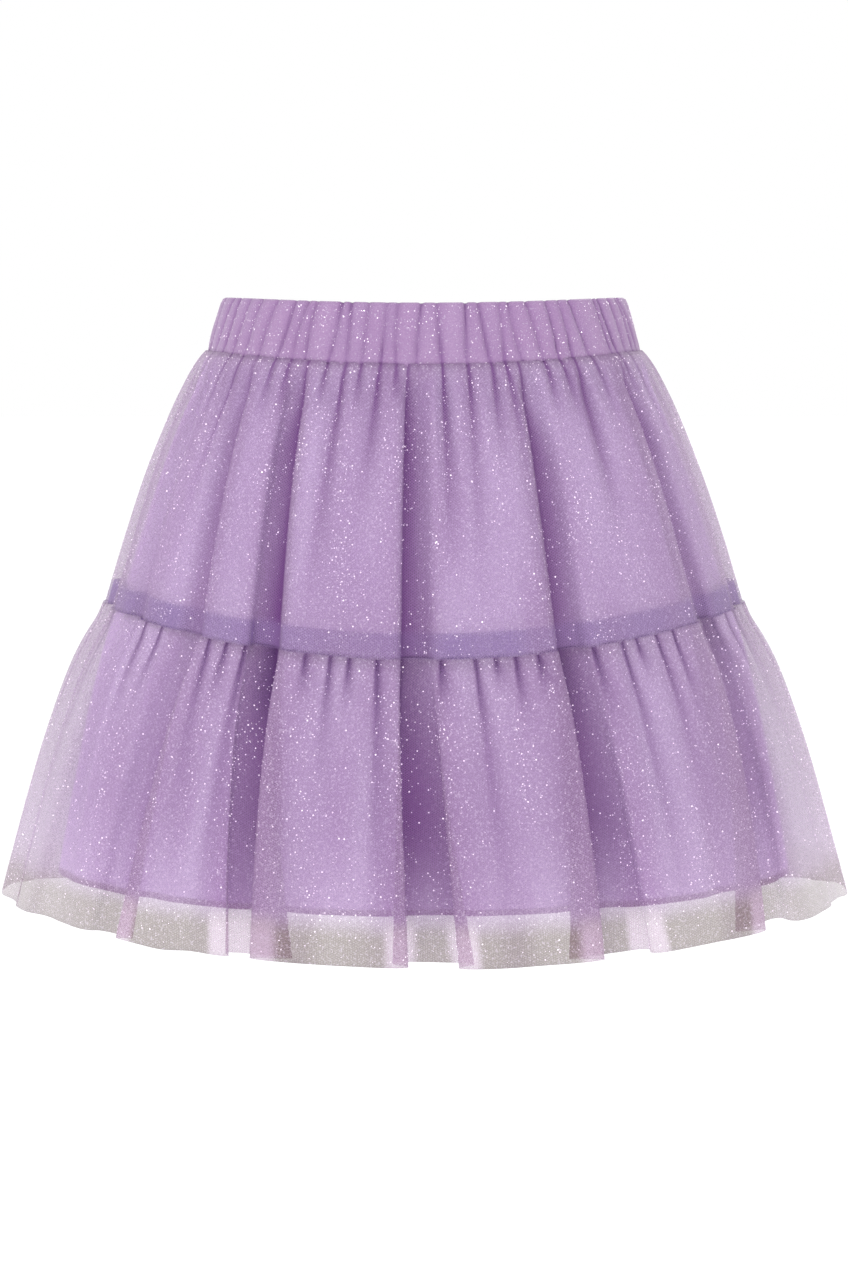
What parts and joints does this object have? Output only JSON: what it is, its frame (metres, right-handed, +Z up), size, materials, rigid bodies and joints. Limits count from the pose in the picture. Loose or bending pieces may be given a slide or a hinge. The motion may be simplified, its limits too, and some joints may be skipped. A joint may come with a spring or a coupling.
{
  "type": "tulle skirt",
  "caption": "Girl's party skirt with a gathered elastic waistband, two tiers of sheer glitter tulle and a plain lining.",
  "frame": {"origin": "the middle of the waist opening, half way up the waistband, where the wearer's waist holds the skirt", "axes": "+Z up along the wearer, front of the skirt towards -Y, +X towards the viewer's right in a front view"},
  "size_m": [0.417, 0.2486, 0.305],
  "materials": {
    "band": "gathered double tulle over a plain weave, soft matte with glitter",
    "tulle": "sheer even net with fine glitter dots",
    "binding": "plain woven tape, matte",
    "lining": "smooth plain weave with a slight sheen"
  },
  "bodies": {
    "root": {"waistband_front": "band", "waistband_back": "band", "upper_tier_front": "tulle", "upper_tier_back": "tulle", "lower_tier_front": "tulle", "lower_tier_back": "tulle", "tier_binding_front": "binding", "tier_binding_back": "binding", "lining_front": "lining", "lining_back": "lining"}
  },
  "joints": []
}
